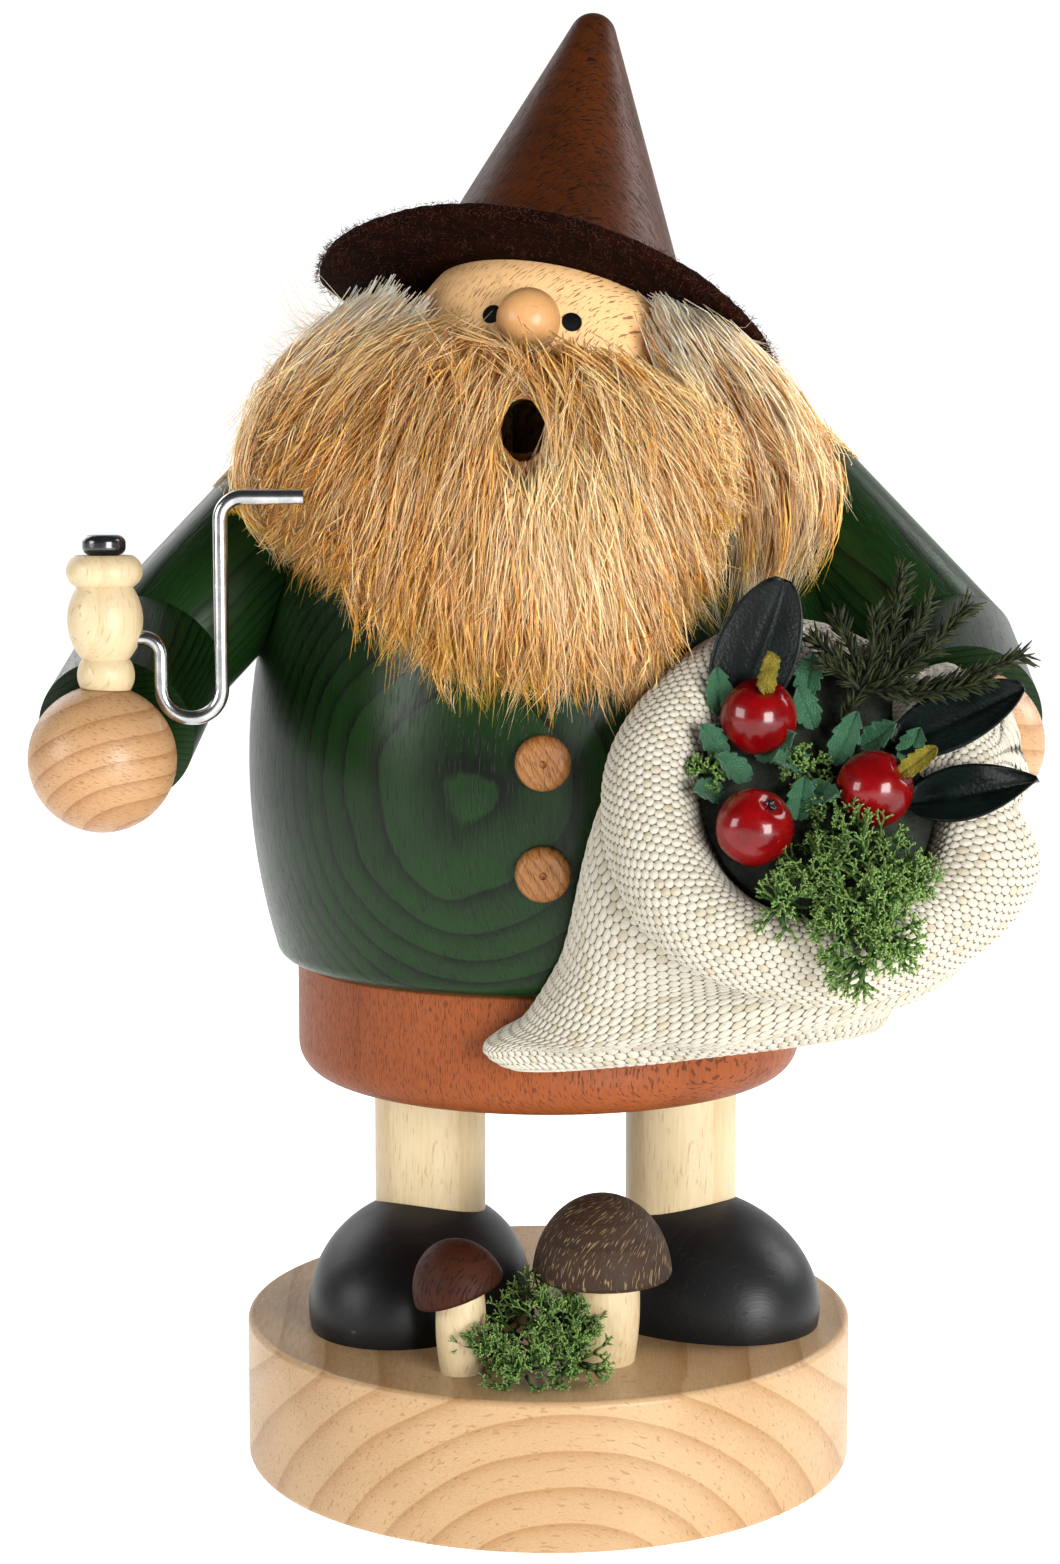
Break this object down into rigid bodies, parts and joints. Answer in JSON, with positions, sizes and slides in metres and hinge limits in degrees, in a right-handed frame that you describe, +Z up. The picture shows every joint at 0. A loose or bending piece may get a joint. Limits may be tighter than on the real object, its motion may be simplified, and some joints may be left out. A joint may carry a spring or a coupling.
{
  "type": "incense smoker",
  "caption": "Turned wooden incense smoker: a bearded gnome with pointed hat, pipe and berry sack on a round base. The hollow body lifts off its spigot to take an incense cone.",
  "frame": {"origin": "centre of the base's underside", "axes": "+Z up, the figure faces -Y, +X is the figure's left"},
  "size_m": [0.1273, 0.1172, 0.2011],
  "materials": {
    "base_beech": "satin lacquer",
    "shoe_stain": "matt black stain",
    "leg_maple": "satin lacquer",
    "pin_wood": "raw",
    "trousers_stain": "satin red-brown stain",
    "tin": "tinned",
    "coat_stain": "satin green stain",
    "button_wood": "satin lacquer",
    "skin_wood": "satin lacquer",
    "eye_paint": "gloss black",
    "hat_felt": "felt",
    "cone_stain": "satin brown stain",
    "beard_fur": "long fur",
    "hair_fur": "long fur",
    "pipe_maple": "satin lacquer",
    "cap_paint": "gloss black",
    "wire_steel": "bright",
    "sackcloth": "coarse basket weave",
    "wadding": "loose",
    "apple_lacquer": "gloss",
    "stalk_felt": "felt",
    "leaf_skin": "satin",
    "leaf_cloth": "satin cloth",
    "twig": "dried",
    "moss": "dyed moss",
    "mushroom_dark": "matt stain",
    "mushroom_red": "matt stain"
  },
  "bodies": {
    "stand": {"base_disc": "base_beech", "shoe_right": "shoe_stain", "shoe_left": "shoe_stain", "leg_right": "leg_maple", "leg_left": "leg_maple", "leg_pins": "pin_wood", "trousers": "trousers_stain", "incense_plate": "tin", "plate_tacks": "tin", "mushroom_large_cap": "mushroom_dark", "mushroom_large_stem": "leg_maple", "mushroom_small_cap": "mushroom_red", "mushroom_small_stem": "leg_maple", "base_moss": "moss"},
    "figure": {"body_shell": "coat_stain", "button_upper": "button_wood", "button_lower": "button_wood", "upper_arm_right": "coat_stain", "upper_arm_left": "coat_stain", "forearm_right": "coat_stain", "forearm_left": "coat_stain", "arm_pins": "pin_wood", "hand_right": "skin_wood", "hand_left": "skin_wood", "head": "skin_wood", "nose": "skin_wood", "eye_right": "eye_paint", "eye_left": "eye_paint", "hat_pin": "pin_wood", "hat_brim": "hat_felt", "hat_cone": "cone_stain", "beard": "beard_fur", "hair": "hair_fur", "pipe_bowl": "pipe_maple", "pipe_cap": "cap_paint", "pipe_stem": "wire_steel", "sack": "sackcloth", "sack_stuffing": "wadding", "apple_upper": "apple_lacquer", "apple_right": "apple_lacquer", "apple_lower": "apple_lacquer", "apple_upper_stalk": "stalk_felt", "apple_right_stalk": "stalk_felt", "leaf_upper": "leaf_skin", "leaf_side_high": "leaf_skin", "leaf_side_low": "leaf_skin", "cloth_leaves": "leaf_cloth", "fir_sprig": "twig", "sack_moss": "moss"}
  },
  "joints": [
    {"name": "body_lift", "type": "slide", "parent": "stand", "child": "figure", "axis": [0, 0, 1], "range_m": [0, 0.06]}
  ]
}
